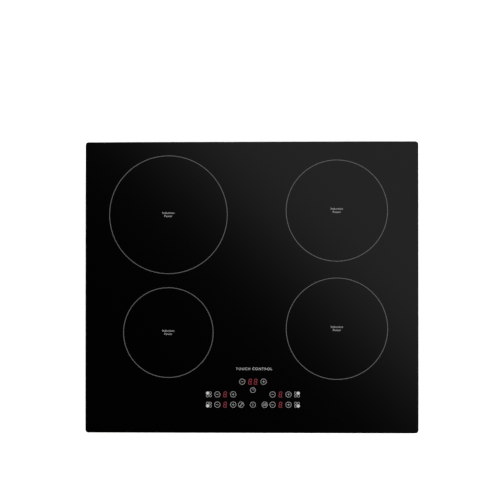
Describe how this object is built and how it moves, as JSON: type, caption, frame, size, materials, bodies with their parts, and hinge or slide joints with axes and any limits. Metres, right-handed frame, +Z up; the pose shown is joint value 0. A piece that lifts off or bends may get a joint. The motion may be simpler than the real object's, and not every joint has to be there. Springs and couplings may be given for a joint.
{
  "type": "induction hob",
  "caption": "Built-in induction hob: black glass-ceramic top with printed ring zones and touch controls over a shallow steel tray, held in a worktop cut-out by side clamps.",
  "frame": {"origin": "middle of the underside, on the plane the pressed feet stand on", "axes": "+X to the right along the longest side, +Y to the rear, +Z up out of the worktop; the touch controls are along the front edge, towards -Y"},
  "size_m": [0.59, 0.516, 0.062],
  "materials": {
    "black_glass": "polished black glass-ceramic",
    "frame_steel": "galvanised sheet",
    "silicone_bond": "matt black silicone",
    "foam_seal": "matt dark grey closed-cell foam",
    "tray_steel": "galvanised sheet",
    "clamp_steel": "zinc-plated spring steel",
    "screw_steel": "zinc-plated",
    "carrier_plastic": "light grey glass-filled moulding",
    "housing_plastic": "black moulding",
    "blower_plastic": "black glass-filled moulding",
    "impeller_plastic": "dark grey moulding",
    "polished_steel": "ground steel",
    "bearing_bronze": "sintered bronze",
    "stator_steel": "laminated electrical steel, lacquered",
    "board_green": "solder mask over glass-fibre board",
    "sink_aluminium": "extruded, as drawn",
    "transistor_black": "moulded epoxy",
    "capacitor_case": "yellow moulded case",
    "choke_winding": "enamelled copper on a ring core",
    "terminal_metal": "tinned brass",
    "duct_plastic": "black moulding",
    "plate_aluminium": "mill finish sheet",
    "litz_copper": "enamelled litz wire",
    "former_plastic": "natural glass-filled moulding",
    "ferrite": "pressed ferrite, matt",
    "mica": "mica and ceramic-fibre disc",
    "sensor_silicone": "red silicone cap",
    "spring_steel": "drawn spring wire",
    "lead_sleeve": "varnished glass-fibre sleeve",
    "display_plastic": "dark display body",
    "ribbon_grey": "grey flat cable",
    "terminal_plastic": "black moulding",
    "terminal_ivory": "ivory moulding",
    "bush_rubber": "black rubber-like nylon",
    "wire_insulation": "brown, blue and green-yellow PVC"
  },
  "bodies": {
    "hob": {"glass_top": "black_glass", "glass_frame": "frame_steel", "frame_bond": "silicone_bond", "rim_seal": "foam_seal", "frame_screws": "screw_steel", "base_tray": "tray_steel", "clamp_screws": "screw_steel", "carrier_screws": "screw_steel", "heat_sinks": "sink_aluminium", "air_ducts": "duct_plastic", "power_transistors": "transistor_black", "film_capacitors": "capacitor_case", "filter_chokes": "choke_winding", "board_terminals": "terminal_metal", "fan_bearings": "bearing_bronze", "fan_stators": "stator_steel", "plate_guides": "screw_steel", "touch_housing": "housing_plastic", "touch_board": "board_green", "touch_springs": "spring_steel", "led_displays": "display_plastic", "ribbon_cable": "ribbon_grey", "terminal_box": "terminal_plastic", "terminal_block": "terminal_ivory", "terminal_screws": "screw_steel", "cable_bush": "bush_rubber", "mains_wires": "wire_insulation", "board_carrier_left": "carrier_plastic", "power_board_left": "board_green", "fan_housing_left": "blower_plastic", "board_carrier_right": "carrier_plastic", "power_board_right": "board_green", "fan_housing_right": "blower_plastic", "plate_springs_left": "spring_steel", "coil_leads_left": "lead_sleeve", "plate_springs_right": "spring_steel", "coil_leads_right": "lead_sleeve"},
    "lid": {"terminal_lid": "terminal_plastic"},
    "blower_left": {"fan_impeller_left": "impeller_plastic", "fan_shaft_left": "polished_steel"},
    "coils_left": {"coil_plate_left": "plate_aluminium", "coil_winding_rear_left": "litz_copper", "coil_winding_front_left": "litz_copper", "coil_formers_left": "former_plastic", "ferrite_bars_left": "ferrite", "insulation_discs_left": "mica", "temperature_sensors_left": "sensor_silicone"},
    "blower_right": {"fan_impeller_right": "impeller_plastic", "fan_shaft_right": "polished_steel"},
    "coils_right": {"coil_plate_right": "plate_aluminium", "coil_winding_rear_right": "litz_copper", "coil_winding_front_right": "litz_copper", "coil_formers_right": "former_plastic", "ferrite_bars_right": "ferrite", "insulation_discs_right": "mica", "temperature_sensors_right": "sensor_silicone"},
    "clamp_front_left_body": {"clamp_front_left": "clamp_steel"},
    "clamp_front_right_body": {"clamp_front_right": "clamp_steel"},
    "clamp_rear_left_body": {"clamp_rear_left": "clamp_steel"},
    "clamp_rear_right_body": {"clamp_rear_right": "clamp_steel"}
  },
  "joints": [
    {"name": "terminal_lid_hinge", "type": "hinge", "parent": "hob", "child": "lid", "pos_m": [0.171, 0.2397, 0.0362], "axis": [1, 0, 0], "range_deg": [0, 95]},
    {"name": "blower_left_spin", "type": "hinge", "parent": "hob", "child": "blower_left", "pos_m": [-0.1254, 0.14, 0.02], "axis": [0, 0, 1], "continuous": true},
    {"name": "coil_plate_left_spring", "type": "slide", "parent": "hob", "child": "coils_left", "axis": [0, 0, 1], "range_m": [-0.003, 0], "stiffness_N_per_m": 4000, "springref_m": 0.005, "deforming": ["plate_springs_left", "coil_leads_left"]},
    {"name": "blower_right_spin", "type": "hinge", "parent": "hob", "child": "blower_right", "pos_m": [0.1731, 0.14, 0.02], "axis": [0, 0, 1], "continuous": true},
    {"name": "coil_plate_right_spring", "type": "slide", "parent": "hob", "child": "coils_right", "axis": [0, 0, 1], "range_m": [-0.003, 0], "stiffness_N_per_m": 4000, "springref_m": 0.005, "deforming": ["plate_springs_right", "coil_leads_right"]},
    {"name": "clamp_front_left_slide", "type": "slide", "parent": "hob", "child": "clamp_front_left_body", "axis": [0, 0, 1], "range_m": [0, 0.013]},
    {"name": "clamp_front_right_slide", "type": "slide", "parent": "hob", "child": "clamp_front_right_body", "axis": [0, 0, 1], "range_m": [0, 0.013]},
    {"name": "clamp_rear_left_slide", "type": "slide", "parent": "hob", "child": "clamp_rear_left_body", "axis": [0, 0, 1], "range_m": [0, 0.013]},
    {"name": "clamp_rear_right_slide", "type": "slide", "parent": "hob", "child": "clamp_rear_right_body", "axis": [0, 0, 1], "range_m": [0, 0.013]}
  ]
}
